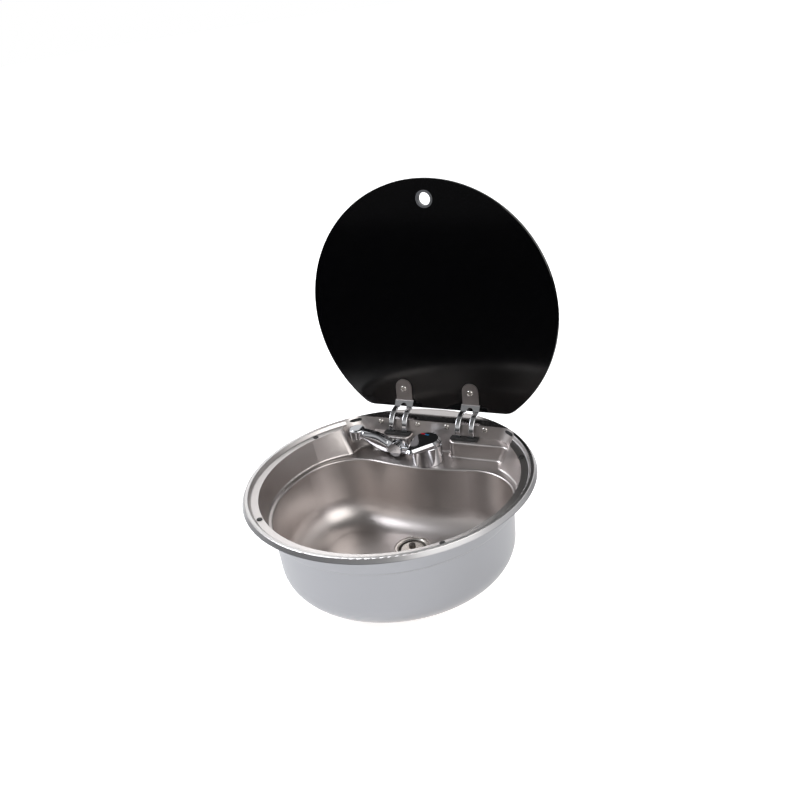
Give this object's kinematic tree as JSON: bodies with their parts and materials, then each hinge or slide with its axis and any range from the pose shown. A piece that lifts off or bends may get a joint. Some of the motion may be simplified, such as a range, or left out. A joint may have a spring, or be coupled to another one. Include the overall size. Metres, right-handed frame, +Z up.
{
  "type": "rv sink with glass lid",
  "caption": "Round drop-in caravan sink pressed from stainless steel, with a folding spout tap in a rear well and a hinged black glass lid.",
  "frame": {"origin": "centre of the round rim on the worktop plane under the flange", "axes": "+Z up out of the worktop, +Y towards the lid hinges, +X to the right when seen from the front"},
  "size_m": [0.4199, 0.4541, 0.546],
  "materials": {
    "pressed_steel": "satin",
    "black_rubber": "matt",
    "black_plastic": "matt",
    "black_glass": "gloss",
    "hinge_metal": "satin",
    "grey_plastic": "satin",
    "screw_steel": "bright",
    "housing_steel": "satin",
    "tap_chrome": "polished",
    "tap_brass": "plain",
    "mark_red": "gloss",
    "mark_blue": "gloss",
    "drain_steel": "satin",
    "plug_plastic": "satin"
  },
  "bodies": {
    "sink": {"sink_bowl": "pressed_steel", "buffer_rear_left": "black_rubber", "buffer_rear_right": "black_rubber", "buffer_front_left": "black_rubber", "buffer_front_right": "black_rubber", "tap_seal": "black_rubber", "tap_core": "tap_brass", "tap_backnut": "tap_brass", "tap_washer": "tap_brass", "tap_cartridge": "grey_plastic", "inlet_left": "tap_brass", "inlet_right": "tap_brass", "drain_flange": "drain_steel", "drain_seal": "black_rubber", "drain_cup": "black_plastic", "drain_screw": "screw_steel", "hinge_gasket_left": "black_plastic", "hinge_gasket_right": "black_plastic", "hinge_housing_left": "housing_steel", "hinge_housing_right": "housing_steel", "hinge_pin_left": "screw_steel", "hinge_pin_right": "screw_steel", "wall_screw_left_outer": "screw_steel", "wall_screw_left_inner": "screw_steel", "wall_screw_right_outer": "screw_steel", "wall_screw_right_inner": "screw_steel"},
    "lid": {"lid_glass": "black_glass", "lid_grommet": "grey_plastic", "hinge_strap_left": "hinge_metal", "hinge_strap_right": "hinge_metal", "hinge_pad_left": "black_rubber", "hinge_pad_right": "black_rubber", "lid_screw_left": "screw_steel", "lid_screw_right": "screw_steel", "lid_nut_left": "screw_steel", "lid_nut_right": "screw_steel"},
    "tap_swivel": {"tap_sleeve": "tap_chrome"},
    "spout": {"spout_arm": "tap_chrome", "spout_pin": "tap_chrome", "spout_aerator": "tap_chrome"},
    "stem": {"lever_stem": "tap_chrome"},
    "lever": {"tap_lever": "tap_chrome", "lever_mark_hot": "mark_red", "lever_mark_cold": "mark_blue"},
    "plug": {"drain_plug": "plug_plastic"}
  },
  "joints": [
    {"name": "lid_hinge", "type": "hinge", "parent": "sink", "child": "lid", "pos_m": [0, 0.182, -0.008], "axis": [1, 0, 0], "range_deg": [0, 97.2]},
    {"name": "spout_swivel", "type": "hinge", "parent": "sink", "child": "tap_swivel", "pos_m": [0.005, 0.125, -0.0234], "axis": [0, 0, 1], "range_deg": [0, 150]},
    {"name": "spout_fold", "type": "hinge", "parent": "tap_swivel", "child": "spout", "pos_m": [-0.04674, 0.13017, -0.0234], "axis": [-0.0993, -0.9951, 0], "range_deg": [-75, 0]},
    {"name": "lever_turn", "type": "hinge", "parent": "sink", "child": "stem", "pos_m": [0.005, 0.125, -0.0084], "axis": [0, 0, 1], "range_deg": [-45, 45]},
    {"name": "lever_lift", "type": "hinge", "parent": "stem", "child": "lever", "pos_m": [0.00836, 0.13756, -0.0068], "axis": [0.9659, -0.2588, 0], "range_deg": [-20, 0]},
    {"name": "plug_lift", "type": "slide", "parent": "sink", "child": "plug", "axis": [0, 0, 1], "range_m": [0, 0.03]}
  ]
}
